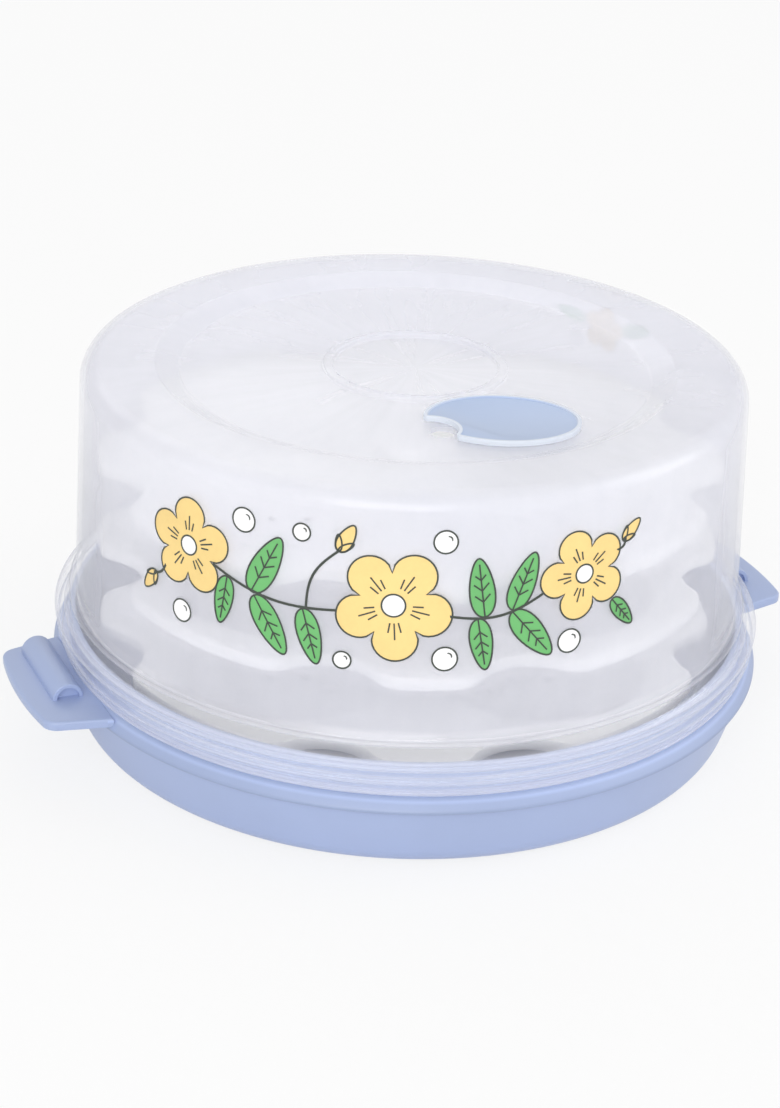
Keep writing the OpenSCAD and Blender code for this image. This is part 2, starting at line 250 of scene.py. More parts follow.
def fillet(before, corner, after, radius):
    """Points of the arc that rounds a corner."""
    u = (before - corner).normalized()
    v = (after - corner).normalized()
    half = u.angle(v) / 2
    reach = radius / math.tan(half)
    centre = corner + (u + v).normalized() * radius / math.sin(half)
    start = corner + u * reach - centre
    end = corner + v * reach - centre
    first = math.atan2(start.y, start.x)
    swing = math.remainder(math.atan2(end.y, end.x) - first, math.tau)
    return arc(centre, radius, first, first + swing)


def rounded(corners):
    """A path through corners (x, y, radius), each rounded to its radius in millimetres."""
    path = []
    for i, (x, y, radius) in enumerate(corners):
        corner = Vector((x, y))
        if radius == 0:
            path.append(corner)
        else:
            path += fillet(Vector(corners[i - 1][:2]), corner, Vector(corners[i + 1][:2]), radius * MM)
    return path


def distinct(path):
    """The path without points that repeat the one before."""
    return [p for i, p in enumerate(path) if i == 0 or (p - path[i - 1]).length > 1e-7]


def softened(path, radius, limit=math.radians(25)):
    """The path with its sharp corners rounded as far as their sides allow."""
    path = distinct(path)
    result = [path[0]]
    for before, corner, after in zip(path, path[1:], path[2:]):
        u = before - corner
        v = after - corner
        turn = math.pi - u.angle(v)
        if turn < limit:
            result.append(corner)
            continue
        room = 0.45 * min(u.length, v.length)
        result += fillet(before, corner, after, min(radius, room / math.tan(turn / 2)))
    result.append(path[-1])
    return result


def supported(path, distance=0.35 * MM):
    """The path with a point close to both ends of each long straight."""
    result = [path[0]]
    for p, q in zip(path, path[1:]):
        way = q - p
        if way.length > 6 * distance:
            result.append(p + way.normalized() * distance)
            result.append(q - way.normalized() * distance)
        result.append(q)
    return result


def beside(path, distance):
    """The path moved to its right, with mitred corners."""
    def left(p, q):
        way = (q - p).normalized()
        return Vector((-way.y, way.x))

    moved = []
    last = len(path) - 1
    for i, point in enumerate(path):
        before = left(path[max(i - 1, 0)], path[max(i, 1)])
        after = left(path[min(i, last - 1)], path[min(i + 1, last)])
        mitre = before + after
        moved.append(point - mitre * (2 * distance / mitre.dot(mitre)))
    return moved


def crossings(path, centre, radius):
    """Where the path crosses a circle: (index of the stretch, point)."""
    found = []
    for i, (p, q) in enumerate(zip(path, path[1:])):
        way = q - p
        off = p - centre
        a = way.dot(way)
        b = 2 * off.dot(way)
        c = off.dot(off) - radius * radius
        root = b * b - 4 * a * c
        if root <= 0:
            continue
        for sign in (-1, 1):
            t = (-b + sign * math.sqrt(root)) / (2 * a)
            if 0 <= t <= 1:
                found.append((i, p + way * t))
    return found


def with_bead(path, centre, radius):
    """The path led clockwise round a bead; one at the path's end stops at the bead's lowest point."""
    centre = Vector(centre)
    found = crossings(path, centre, radius)
    first, enter = found[0]
    start = math.atan2(enter.y - centre.y, enter.x - centre.x)
    if len(found) > 1:
        last, leave = found[-1]
        end = math.atan2(leave.y - centre.y, leave.x - centre.x)
        rest = path[last + 1:]
    else:
        end = -math.pi / 2
        rest = []
    if end > start:
        end -= math.tau
    return path[:first + 1] + arc(centre, radius, start, end, 10) + rest


# Modelling steps

def at_rest():
    """Leave edit mode and select nothing."""
    active = bpy.context.object
    if active and active.mode != "OBJECT":
        bpy.ops.object.mode_set(mode="OBJECT")
    bpy.ops.object.select_all(action="DESELECT")


def only(obj):
    """Make obj the one selected and active object."""
    at_rest()
    obj.select_set(True)
    bpy.context.view_layer.objects.active = obj


def edit(obj):
    """Go into edit mode on obj with nothing selected."""
    only(obj)
    bpy.ops.object.mode_set(mode="EDIT")
    bpy.ops.mesh.select_mode(type="VERT")
    bpy.ops.mesh.select_all(action="DESELECT")


def choose(kind, test):
    """In edit mode, select the faces or edges that pass the test."""
    bpy.ops.mesh.select_mode(type=kind)
    bpy.ops.mesh.select_all(action="DESELECT")
    mesh = bpy.context.object.data
    shape = bmesh.from_edit_mesh(mesh)
    for item in shape.faces if kind == "FACE" else shape.edges:
        if test(item):
            item.select_set(True)
    bmesh.update_edit_mesh(mesh)


def merge():
    """In edit mode, select everything and merge doubled points."""
    bpy.ops.mesh.select_all(action="SELECT")
    bpy.ops.mesh.remove_doubles(threshold=TINY)


def tidy():
    """In edit mode, merge doubled points and turn all faces outwards."""
    bpy.ops.mesh.select_mode(type="VERT")
    merge()
    bpy.ops.mesh.normals_make_consistent(inside=False)


def extrude(way):
    """In edit mode, extrude what is selected along a vector."""
    bpy.ops.mesh.extrude_region_move(TRANSFORM_OT_translate={"value": way})


def drawn(name, points, closed=False):
    """A new object in edit mode: one point, extruded along 3-D points."""
    at_rest()
    bpy.ops.mesh.primitive_plane_add(size=MM, location=(0, 0, 0))
    obj = bpy.context.object
    obj.name = name
    bpy.ops.object.mode_set(mode="EDIT")
    bpy.ops.mesh.select_all(action="SELECT")
    bpy.ops.mesh.merge(type="CENTER")
    bpy.ops.transform.translate(value=points[0])
    way = list(points) + ([points[0]] if closed else [])
    for p, q in zip(way, way[1:]):
        extrude(q - p)
    if closed:
        merge()
    return obj


def lathe(name, path, steps=SPIN_STEPS):
    """A profile of (radius, height) points spun round the Z axis."""
    obj = drawn(name, [Vector((p.x, 0, p.y)) for p in path])
    bpy.ops.mesh.select_all(action="SELECT")
    bpy.ops.mesh.spin(steps=steps, angle=math.tau, center=(0, 0, 0), axis=(0, 0, 1))
    tidy()
    at_rest()
    return obj


def slab(name, path, low, high):
    """A closed outline filled at one height and extruded to another, left in edit mode."""
    obj = drawn(name, [Vector((p.x, p.y, low)) for p in path], closed=True)
    bpy.ops.mesh.select_all(action="SELECT")
    bpy.ops.mesh.edge_face_add()
    extrude((0, 0, high - low))
    tidy()
    return obj


def level(item, height):
    """Whether all corners of a face or edge lie at a height."""
    return all(abs(v.co.z - height) < 1e-5 for v in item.verts)


def bevel(width, segments):
    bpy.ops.mesh.bevel(offset=width, offset_type="OFFSET", segments=segments, clamp_overlap=True)


def modify(obj, kind, **settings):
    """Give obj a modifier with these settings, and apply it."""
    only(obj)
    modifier = obj.modifiers.new(kind.lower(), kind)
    for key, value in settings.items():
        setattr(modifier, key, value)
    bpy.ops.object.modifier_apply(modifier=modifier.name)


def combine(obj, tool, operation):
    """Join a tool to obj, or cut it out, with an exact boolean."""
    modify(obj, "BOOLEAN", operation=operation, solver="EXACT", object=tool)
    bpy.data.objects.remove(tool, do_unlink=True)


def cutter(radius, place, low, high):
    """A cylinder to cut a hole with."""
    at_rest()
    bpy.ops.mesh.primitive_cylinder_add(
        vertices=64, radius=radius, depth=high - low, location=(place.x, place.y, (low + high) / 2)
    )
    bpy.ops.object.transform_apply(location=True, rotation=True, scale=True)
    return bpy.context.object


def smooth(obj):
    only(obj)
    bpy.ops.object.shade_smooth_by_angle(angle=SMOOTH_ANGLE)


def dress(obj, name, body, material, replaced=()):
    """Name a finished piece, give it its finish, tie it to its body, and hide the CAD nodes it replaces."""
    obj.name = name
    obj.data.name = name
    obj.data.materials.clear()
    obj.data.materials.append(material)
    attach(obj, body)
    if replaced:
        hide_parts(*replaced)


# Finishes

def feed(tree, sockets, values):
    """Set sockets, by name or number, to values, or link them to other nodes' outputs."""
    for key, value in values.items():
        if isinstance(value, bpy.types.NodeSocket):
            tree.links.new(value, sockets[key])
        else:
            sockets[key].default_value = value


def node(tree, kind, *inputs, **values):
    """Add a node, with its first inputs in order, and its properties and other inputs by name."""
    item = tree.nodes.new(kind)
    for key, value in values.items():
        if hasattr(item, key):
            setattr(item, key, value)
        else:
            feed(tree, item.inputs, {key.replace("_", " "): value})
    feed(tree, item.inputs, dict(enumerate(inputs)))
    return item


def calc(tree, operation, *inputs):
    """The result of a Math node."""
    return node(tree, "ShaderNodeMath", *inputs, operation=operation).outputs["Value"]


def mapped(tree, value, old=(0.0, 1.0), new=(0.0, 1.0)):
    """A value moved from its old limits to new ones, and kept within them."""
    return node(tree, "ShaderNodeMapRange", value, *old, *new).outputs["Result"]


def mixed(tree, factor, one, two, blend="MIX"):
    """The mix of two colours."""
    item = node(tree, "ShaderNodeMix", data_type="RGBA", blend_type=blend, Factor=factor, A=one, B=two)
    return item.outputs["Result"]


def noise(tree, vector, scale, detail, roughness):
    """The value of a noise texture."""
    item = node(
        tree, "ShaderNodeTexNoise", Vector=vector, Scale=scale, Detail=detail, Roughness=roughness
    )
    return item.outputs["Fac"]


def place_of(tree):
    """The Object coordinates."""
    return tree.nodes.new("ShaderNodeTexCoord").outputs["Object"]


def size_of(tree, vector):
    """The length of a vector."""
    return node(tree, "ShaderNodeVectorMath", vector, operation="LENGTH").outputs["Value"]


def parts_of(material):
    """A material's node tree and the inputs of its shader."""
    tree = material.node_tree
    return tree, tree.nodes["Principled BSDF"].inputs


def new_group(name, inputs, outputs):
    """An empty node group with float inputs and outputs by name."""
    tree = bpy.data.node_groups.new(name, "ShaderNodeTree")
    for way, labels in (("INPUT", inputs), ("OUTPUT", outputs)):
        for label in labels:
            tree.interface.new_socket(name=label, in_out=way, socket_type="NodeSocketFloat")
    return tree, tree.nodes.new("NodeGroupInput").outputs, tree.nodes.new("NodeGroupOutput").inputs


def moulding_group():
    """Fine grain and slow cloudiness of moulded plastic."""
    name = "moulded plastic"
    if name in bpy.data.node_groups:
        return bpy.data.node_groups[name]
    tree, given, out = new_group(name, ["Grain Scale", "Cloud Scale", "Grain"], ["Tone", "Height"])
    place = place_of(tree)
    grain = noise(tree, place, given["Grain Scale"], 2.0, 0.6)
    cloud = noise(tree, place, given["Cloud Scale"], 3.0, 0.55)
    feed(tree, out, {
        "Tone": calc(tree, "MULTIPLY_ADD", grain, 0.25, cloud),
        "Height": calc(tree, "MULTIPLY", grain, given["Grain"]),
    })
    return tree


def streak_group():
    """Faint flow streaks that run outwards from the middle of the lid."""
    name = "flow streaks"
    if name in bpy.data.node_groups:
        return bpy.data.node_groups[name]
    tree, given, out = new_group(name, ["Streaks", "Stretch"], ["Streak"])
    place = place_of(tree)
    parts = node(tree, "ShaderNodeSeparateXYZ", place).outputs
    angle = calc(tree, "ARCTAN2", parts["Y"], parts["X"])
    outward = calc(tree, "MULTIPLY", size_of(tree, place), given["Stretch"])
    joined = node(
        tree, "ShaderNodeCombineXYZ", calc(tree, "SINE", angle), calc(tree, "COSINE", angle), outward
    )
    scale = calc(tree, "MULTIPLY", given["Streaks"], 0.2)
    feed(tree, out, {"Streak": noise(tree, joined.outputs["Vector"], scale, 3.0, 0.6)})
    return tree


def plastic(name, base, rough=0.34, contrast=0.035, bump=0.12, grain_scale=1400.0, cloud_scale=22.0,
            depth=0.0):
    """Moulded plastic with cloudiness in its colour and gloss, and a fine grain."""
    if name in bpy.data.materials:
        return bpy.data.materials[name]
    material = bpy.data.materials.new(name)
    material.use_nodes = True
    tree, skin = parts_of(material)
    moulding = node(
        tree, "ShaderNodeGroup", node_tree=moulding_group(), Grain_Scale=grain_scale,
        Cloud_Scale=cloud_scale, Grain=1.0
    ).outputs
    dark = [v * (1 - contrast) for v in base] + [1.0]
    pale = [min(1.0, v * (1 + contrast)) for v in base] + [1.0]
    relief = node(tree, "ShaderNodeBump", Strength=bump, Distance=0.05 * MM, Height=moulding["Height"])
    feed(tree, skin, {
        "IOR": 1.49,
        "Base Color": mixed(tree, mapped(tree, moulding["Tone"], NOISE_RANGE), dark, pale),
        "Roughness": mapped(tree, moulding["Tone"], NOISE_RANGE, (rough - 0.04, rough + 0.05)),
        "Normal": relief.outputs["Normal"],
    })
    if depth > 0:
        feed(tree, skin, {
            "Subsurface Weight": 0.9, "Subsurface Radius": (1.0, 1.0, 1.0), "Subsurface Scale": depth,
        })
    return material


def bands(tree, stops):
    """A value that follows the height, through rows of height, millimetres above it, and value."""
    stops = [(height + above * MM, value) for height, above, value in stops]
    low = stops[0][0]
    high = stops[-1][0]
    most = max(value for height, value in stops)
    parts = node(tree, "ShaderNodeSeparateXYZ", place_of(tree))
    ramp = node(tree, "ShaderNodeValToRGB", mapped(tree, parts.outputs["Z"], (low, high)))
    while len(ramp.color_ramp.elements) < len(stops):
        ramp.color_ramp.elements.new(0.5)
    for element, (height, value) in zip(ramp.color_ramp.elements, stops):
        element.position = (height - low) / (high - low)
        element.color = (value / most, value / most, value / most, 1.0)
    return calc(tree, "MULTIPLY", ramp.outputs["Color"], most)


def frosted(finish, lid):
    """Natural, translucent plastic: milky, and its inside is lit through it."""
    material = plastic(
        "natural translucent plastic", finish.lid, rough=finish.lid_rough, contrast=0.03, bump=0.02,
        grain_scale=900.0
    )
    material.surface_render_method = "DITHERED"
    tree, skin = parts_of(material)
    low = LID_LOW.z
    step = low + lid.skirt_h
    middle = (low + step) / 2
    flare = step + lid.step_h
    thin = finish.lid_skirt
    thick = finish.lid_bead
    skirt = bands(tree, (
        (low, 0, 0.8), (low, 0.9, thick), (low, 2.3, thin),
        (middle, -1.4, thin), (middle, 0, thick), (middle, 1.5, thin * 0.8),
        (step, -2, thin), (step, -0.4, thick), (step, 1.6, thin),
        (flare, -1, thin), (flare, 0, thick), (flare, 1.2, 0.85), (flare + lid.flare_h, 0, 1.0),
    ))
    streaks = node(
        tree, "ShaderNodeGroup", node_tree=streak_group(), Streaks=26.0, Stretch=9.0
    ).outputs["Streak"]
    limits = (finish.lid_cover * 0.95, min(1.0, finish.lid_cover * 1.04))
    cover = calc(tree, "MULTIPLY", mapped(tree, streaks, NOISE_RANGE, limits), skirt)
    rays = tree.nodes.new("ShaderNodeLightPath").outputs
    lit = calc(tree, "MAXIMUM", rays["Is Shadow Ray"], rays["Is Diffuse Ray"])
    share = mapped(tree, lit, new=(1.0, finish.lid_shade))
    feed(tree, skin, {
        "Transmission Weight": finish.lid_clear,
        "Alpha": calc(tree, "MULTIPLY", cover, share),
    })
    return material


def tone_over(tree, skin, factor, tone, blend="MIX"):
    """Lay a tone over the base colour."""
    body = skin["Base Color"].links[0].from_socket
    feed(tree, skin, {"Base Color": mixed(tree, factor, body, tone, blend)})


def lip_painted_light(material, s):
    """Paint a highlight along the top of the dish's lip slope, and paint shade on the lip's lower edge and
    in the crevice under it.
    """
    tree, skin = parts_of(material)
    middle = s.lip_r - 1.9 * MM
    half = 2.4 * MM
    flat = node(tree, "ShaderNodeVectorMath", place_of(tree), (1.0, 1.0, 0.0), operation="MULTIPLY")
    beyond = calc(tree, "COMPARE", size_of(tree, flat.outputs["Vector"]), middle, half)
    low = s.lip_low
    high = s.flange_z
    # Painted shade (values below 1) on the lip's lower edge and under it, and a painted highlight (1.18)
    # near the top of its slope
    painted_light = bands(tree, (
        (low, -1.6, 1.0), (low, -0.4, 0.86), (low, 0.6, 0.8), (low, 1.4, 0.93),
        (high, -1.6, 0.97), (high, -0.9, 1.18), (high, -0.3, 1.0),
    ))
    tone_over(tree, skin, beyond, painted_light, "MULTIPLY")


def painted_rim_highlight(material, s, tone):
    """Paint a highlight on the vent cover's thin rim and the edge of its notch, as a paler tone."""
    tree, skin = parts_of(material)
    place = place_of(tree)
    centre = vent_centre(s)
    notch = centre + polar(s.notch_place, s.turn + s.notch_turn)
    any_height = 1000.0
    masks = []
    for middle, half_l, half_w, limits, values in (
        (centre, s.half_l, s.half_w, (0.935, 0.955), (0.0, 1.0)),
        (notch, s.notch_r, s.notch_r, (1.1, 1.14), (1.0, 0.0)),
    ):
        about = node(
            tree, "ShaderNodeMapping", place, (*middle, 0.0), (0.0, 0.0, s.turn),
            (half_l, half_w, any_height), vector_type="TEXTURE"
        )
        masks.append(mapped(tree, size_of(tree, about.outputs["Vector"]), limits, values))
    # The paler tone is a painted highlight on the rim and the notch edge
    tone_over(tree, skin, calc(tree, "MAXIMUM", *masks), (*tone, 1.0))


# Pieces

def dish_profile(s):
    """Profile of the dish from the axis underneath, round the lip, to the axis inside."""
    foot = Vector((s.foot_r, s.corner_r))
    outwards = polar(1, -s.side_lean)
    side_foot = foot + outwards * s.corner_r
    inner_foot = foot + outwards * (s.corner_r - s.wall)
    side_top = Vector((s.lip_r - s.lip_overhang, s.lip_low))
    way = side_top - side_foot
    hollow_r = s.foot_r - s.foot_w
    flange_r = s.lip_r - s.lip_slope
    upstand_r = flange_r - s.seat_w
    upstand_z = s.flange_z + s.upstand_h
    bore_r = upstand_r - s.upstand
    bore_z = inner_foot.y + (bore_r - inner_foot.x) * way.y / way.x
    boss_z = s.wall + s.boss_h
    spigot_z = boss_z + s.spigot_h
    core_r = s.spigot_r - s.spigot_wall
    under = rounded([
        (0, spigot_z - s.wall, 0),
        (core_r, spigot_z - s.wall, 0.6),
        (core_r, s.foot_hollow, 0.5),
        (hollow_r, s.foot_hollow, 0.3),
        (hollow_r, 0, 0.3),
        (s.foot_r, 0, 0),
    ])
    corner = arc(foot, s.corner_r, math.radians(-90), -s.side_lean, 10)
    rim = rounded([
        (*side_foot, 0),
        (*side_top, 0.5),
        (s.lip_r, s.lip_low, 0.35),
        (s.lip_r, s.lip_low + s.lip_edge, 1.3),
        (flange_r, s.flange_z, 3.5),
        (upstand_r, s.flange_z, 0.4),
        (upstand_r, upstand_z, 0.6),
        (bore_r, upstand_z, 0.6),
        (bore_r, bore_z, 1.5),
        (*inner_foot, 0),
    ])
    inner = arc(foot, s.corner_r - s.wall, -s.side_lean, math.radians(-90), 10)
    floor = rounded([
        (s.foot_r, s.wall, 0),
        (s.boss_r, s.wall, 0.5),
        (s.boss_r, boss_z, 0.3),
        (s.spigot_r, boss_z, 0.3),
        (s.spigot_r, spigot_z, 0.6),
        (0, spigot_z, 0),
    ])
    return supported(under + corner[1:-1] + rim + inner[1:-1] + floor)


def lug_outline(s, inner_x):
    """Outline of the lug at +X, with its straight inner end inside the dish."""
    side = s.reach * math.sin(s.taper) + s.half_w * math.cos(s.taper)
    corner_turn = math.asin((side - s.corner_r) / (s.reach - s.corner_r)) - s.taper
    half = (side - inner_x * math.sin(s.taper)) / math.cos(s.taper)
    corner = polar(s.reach - s.corner_r, corner_turn)
    upper = [Vector((inner_x, half))]
    upper += arc(corner, s.corner_r, math.pi / 2 - s.taper, corner_turn, 8)
    upper += arc((0, 0), s.reach, corner_turn, 0, 6)[1:]
    return upper + [Vector((p.x, -p.y)) for p in reversed(upper[:-1])]


def lug_piece(s, dish):
    """A lug with its turned-down edge, rounded rim and half-round ridge."""
    sunk = 0.02 * MM
    root = 5 * MM
    top = dish.flange_z - sunk
    low = top - s.edge_h
    obj = slab("lug", lug_outline(s, dish.lip_r - root), low, top)
    choose("FACE", lambda f: level(f, low))
    bpy.ops.mesh.inset(thickness=s.edge_w)
    extrude((0, 0, s.edge_h - s.plate))
    choose("EDGE", lambda e: level(e, top))
    bevel(s.round_r, 4)
    choose("EDGE", lambda e: level(e, low))
    bevel(0.35 * MM, 2)
    tidy()
    combine(obj, ridge_piece(s, dish), "UNION")
    return obj


def ridge_piece(s, dish):
    """The half-round ridge, hollow at both ends."""
    near = s.ridge_shift - s.ridge_l / 2
    edge = 0.4 * MM
    centre = Vector((s.ridge_x, dish.flange_z))
    path = arc(centre, s.ridge_r, 0, math.pi, 14)
    path += [p - Vector((0, 0.8 * s.plate)) for p in (path[-1], path[0])]
    obj = drawn("ridge", [Vector((p.x, near, p.y)) for p in path], closed=True)
    bpy.ops.mesh.edge_face_add()
    extrude((0, s.ridge_l, 0))
    tidy()
    choose("EDGE", lambda e: abs(e.verts[0].co.y - e.verts[1].co.y) < TINY)
    bevel(edge, 3)
    for sign in (-1, 1):
        choose("FACE", lambda f: f.normal.y * sign > 0.99)
        bpy.ops.mesh.inset(thickness=s.ridge_wall - edge)
        extrude((0, -sign * s.ridge_hollow, 0))
    tidy()
    at_rest()
    return obj


class STEAMER_OT_dish(bpy.types.Operator):
    """Spin the water dish and fuse its two lugs to it"""

    bl_idname = "idli_steamer.dish"
    bl_label = "Dish"

    def execute(self, context):
        scene = context.scene
        dish = scene.steamer_dish
        obj = lathe("dish", dish_profile(dish))
        for side in (1, -1):
            lug = lug_piece(scene.steamer_lugs, dish)
            if side < 0:
                edit(lug)
                bpy.ops.mesh.select_all(action="SELECT")
                bpy.ops.transform.mirror(constraint_axis=(True, False, False), center_override=(0, 0, 0))
                tidy()
            combine(obj, lug, "UNION")
        smooth(obj)
        material = plastic("pale blue plastic", scene.steamer_finish.dish)
        # Painted highlight and painted shade on the dish's lip
        lip_painted_light(material, dish)
        dress(obj, "water_dish", "base", material, ["base_dish"])
        return {"FINISHED"}


def lid_outline(s):
    """Sharp outer profile of the lid from the axis to the skirt's edge."""
    top = LID_HIGH.z
    edge = LID_LOW.z
    crown_z = top - s.crown_rise
    step_r = s.skirt_r + s.skirt_lean
    step_z = edge + s.skirt_h
    flare_r = step_r - s.step_w
    flare_z = step_z + s.step_h
    wall_r = flare_r - s.flare_w
    wall_z = flare_z + s.flare_h
    shoulder_z = top - s.shoulder_r
    shoulder_r = wall_r - (shoulder_z - wall_z) * math.tan(s.draft)
    return {
        "crown": [Vector((s.crown_r, crown_z)), Vector((s.crown_r + s.crown_slope, top))],
        "shoulder": arc((shoulder_r - s.shoulder_r, shoulder_z), s.shoulder_r, math.pi / 2, 0, 8),
        "wall": Vector((wall_r, wall_z)),
        "flare": Vector((flare_r, flare_z)),
        "step": Vector((step_r, step_z)),
        "edge": Vector((s.skirt_r, edge)),
    }


def lid_profile(s):
    """Profile of the lid: outside with its ring and beads, then inside back to the axis."""
    line = lid_outline(s)
    crown, top = line["crown"]
    outside = [Vector((0, crown.y)), crown, top] + line["shoulder"]
    outside += [line["wall"], line["flare"], line["step"], line["edge"]]
    inside = beside(outside, s.wall)
    inside[-1] = Vector((inside[-1].x, line["edge"].y))
    outer = rounded([
        (0, crown.y, 0),
        (s.ring_r - s.ring_w, crown.y, 0.5),
        (s.ring_r - s.ring_w, crown.y + s.ring_h, 0.6),
        (s.ring_r, crown.y + s.ring_h, 0.6),
        (s.ring_r, crown.y, 0.5),
        (*crown, 3),
        (*top, 3),
        (*line["shoulder"][0], 0),
    ])
    outer += line["shoulder"][1:-1]
    outer += rounded([
        (*line["shoulder"][-1], 0),
        (*line["wall"], 4),
        (*line["flare"], 0),
        (*line["step"], 0),
        (*line["edge"], 0),
    ])
    outer = with_bead(outer, line["flare"], s.foot_bead)
    outer = with_bead(outer, line["step"] - Vector((0, s.step_bead / 2)), s.step_bead)
    middle = (line["step"] + line["edge"]) / 2
    outer = with_bead(outer, (middle.x, line["step"].y - s.skirt_h / 2), s.skirt_bead)
    outer = with_bead(outer, line["edge"] + Vector((0, s.edge_bead)), s.edge_bead)
    inner = softened(inside[::-1], 1.2 * MM)
    return supported(softened(outer + inner, 0.3 * MM))


def vent_centre(vent):
    return polar(vent.place, vent.direction)


class STEAMER_OT_lid(bpy.types.Operator):
    """Spin the domed lid and cut the steam hole and the stem's hole in its crown"""

    bl_idname = "idli_steamer.lid"
    bl_label = "Lid"

    def execute(self, context):
        scene = context.scene
        vent = scene.steamer_vent
        obj = lathe("lid", lid_profile(scene.steamer_lid))
        centre = vent_centre(vent)
        hole = centre + polar(vent.hole_place, vent.turn + vent.notch_turn)
        low = LID_HIGH.z - 12 * MM
        high = LID_HIGH.z + 5 * MM
        combine(obj, cutter(vent.stem_r + vent.stem_fit, centre, low, high), "DIFFERENCE")
        combine(obj, cutter(vent.hole_r, hole, low, high), "DIFFERENCE")
        smooth(obj)
        material = frosted(scene.steamer_finish, scene.steamer_lid)
        dress(obj, "domed_lid", "lid", material, ["lid_dome"])
        return {"FINISHED"}


def vent_outline(s):
    """Oval of the cover with its notch, about the stem, the long axis along X."""
    notch = polar(s.notch_place, s.notch_turn)
    steps = 160
    oval = [
        Vector((s.half_l * math.cos(math.tau * i / steps), s.half_w * math.sin(math.tau * i / steps)))
        for i in range(steps + 1)
    ]
    found = crossings(beside(oval, -s.corner_r), notch, s.notch_r + s.corner_r)
    (first, one), (last, two) = found[0], found[-1]

    def towards(p, q):
        return math.atan2(q.y - p.y, q.x - p.x)

    def corner(centre, start, end):
        return arc(centre, s.corner_r, start, start + (end - start) % math.tau, 6)

    def after(i):
        return oval[i] + (oval[i + 1] - oval[i]) / 2

    start = towards(notch, one)
    end = towards(notch, two)
    path = oval[:first + 1]
    path += corner(one, towards(one, after(first)), towards(one, notch))
    path += arc(notch, s.notch_r, start, start - (start - end) % math.tau, 24)[1:-1]
    path += corner(two, towards(two, notch), towards(two, after(last)))
    return path + oval[last + 1:-1]


class STEAMER_OT_vent(bpy.types.Operator):
    """Make the oval vent cover with its raised rim, notch, stem and snap head"""

    bl_idname = "idli_steamer.vent"
    bl_label = "Vent cover"

    def execute(self, context):
        scene = context.scene
        s = scene.steamer_vent
        lid = scene.steamer_lid
        crown_z = LID_HIGH.z - lid.crown_rise
        low = crown_z + s.gap
        high = low + s.thick
        obj = slab("vent", vent_outline(s), low, high)
        choose("FACE", lambda f: level(f, high))
        bpy.ops.mesh.inset(thickness=s.rim_w)
        extrude((0, 0, -s.rim_h))
        choose("EDGE", lambda e: level(e, high) or level(e, high - s.rim_h) or level(e, low))
        bevel(0.22 * MM, 2)
        tidy()
        head = crown_z - lid.wall - s.gap
        tip = head - s.snap_l
        root = low + 0.5 * MM
        stem = lathe("stem", rounded([
            (0, tip, 0),
            (s.snap_tip_r, tip, 0.3),
            (s.snap_r, head, 0.25),
            (s.stem_r, head, 0.2),
            (s.stem_r, root, 0),
            (0, root, 0),
        ]), 48)
        combine(obj, stem, "UNION")
        edit(obj)
        tidy()
        at_rest()
        centre = vent_centre(s)
        obj.data.transform(Matrix.Translation((centre.x, centre.y, 0)) @ Matrix.Rotation(s.turn, 4, "Z"))
        smooth(obj)
        material = plastic("light blue plastic", scene.steamer_finish.vent, rough=0.3)
        # Painted highlight on the cover's rim and notch edge
        painted_rim_highlight(material, s, scene.steamer_finish.vent_rim_highlight)
        dress(obj, "vent_cover_dressed", "vent", material, ["vent_cover"])
        return {"FINISHED"}


class STEAMER_OT_plates(bpy.types.Operator):
    """Round the edges of the cup plates and give them their finish"""

    bl_idname = "idli_steamer.plates"
    bl_label = "Cup plates"

    def execute(self, context):
        material = plastic(
            "white plastic", context.scene.steamer_finish.plate, rough=0.38, contrast=0.02, bump=0.08,
            depth=3 * MM
        )
        for name, body in PLATES:
            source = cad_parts[name]
            obj = source.copy()
            obj.data = source.data.copy()
            context.scene.collection.objects.link(obj)
            edit(obj)
            merge()
            bpy.ops.mesh.dissolve_limited(angle_limit=math.radians(0.5))
            modify(
                obj, "BEVEL", limit_method="ANGLE", angle_limit=math.radians(35), width=0.35 * MM,
                segments=2
            )
            smooth(obj)
            dress(obj, name + "_dressed", body, material, [name])
        return {"FINISHED"}


# Print on the dome's wall

def on_wall(lid, turn, along, height, proud):
    """Point on the dome's wall from a length along the wall and a height."""
    wall = lid_outline(lid)["wall"]
    radius = wall.x - (height - wall.y) * math.tan(lid.draft) + proud
    around = polar(radius, turn + along / wall.x)
    return Vector((around.x, around.y, height))


def disc(centre, radius, steps=32):
    return [centre + polar(radius, math.tau * i / steps) for i in range(steps)]


def pointed(centre, size, width, turn, steps=16):
    """Outline of a pointed leaf or a bud from its foot."""
    path = []
    for i in range(2 * steps):
        t = math.pi * i / steps
        along = (1 - math.cos(t)) / 2 * size
        across = -math.sin(t) * width / 2 * (0.8 + 0.2 * math.cos(t))
        path.append(Vector((along, across)))
    spin = Matrix.Rotation(turn, 2)
    return [spin @ p + centre for p in path]


def lobed(centre, radius, turn, lobes=5, steps=90):
    """Outline of a flower with rounded petals."""
    path = []
    for i in range(steps):
        angle = math.tau * i / steps
        reach = 0.58 + 0.42 * abs(math.cos(lobes * angle / 2)) ** 0.6
        path.append(centre + polar(radius * reach, turn + angle))
    return path


def grown(path, distance):
    """A closed outline moved outwards."""
    moved = []
    for i, p in enumerate(path):
        way = (path[(i + 1) % len(path)] - path[i - 1]).normalized()
        moved.append(p + Vector((way.y, -way.x)) * distance)
    return moved


def stroke(start, end, bow=0.0, half=0.22 * MM, steps=14):
    """Outline of a thin line, straight or bowed."""
    way = end - start
    side = Vector((-way.y, way.x)).normalized()
    middle = []
    for i in range(steps + 1):
        bend = side * bow * math.sin(math.pi * i / steps)
        middle.append(start + way * (i / steps) + bend)
    return [p - side * half for p in middle] + [p + side * half for p in reversed(middle)]


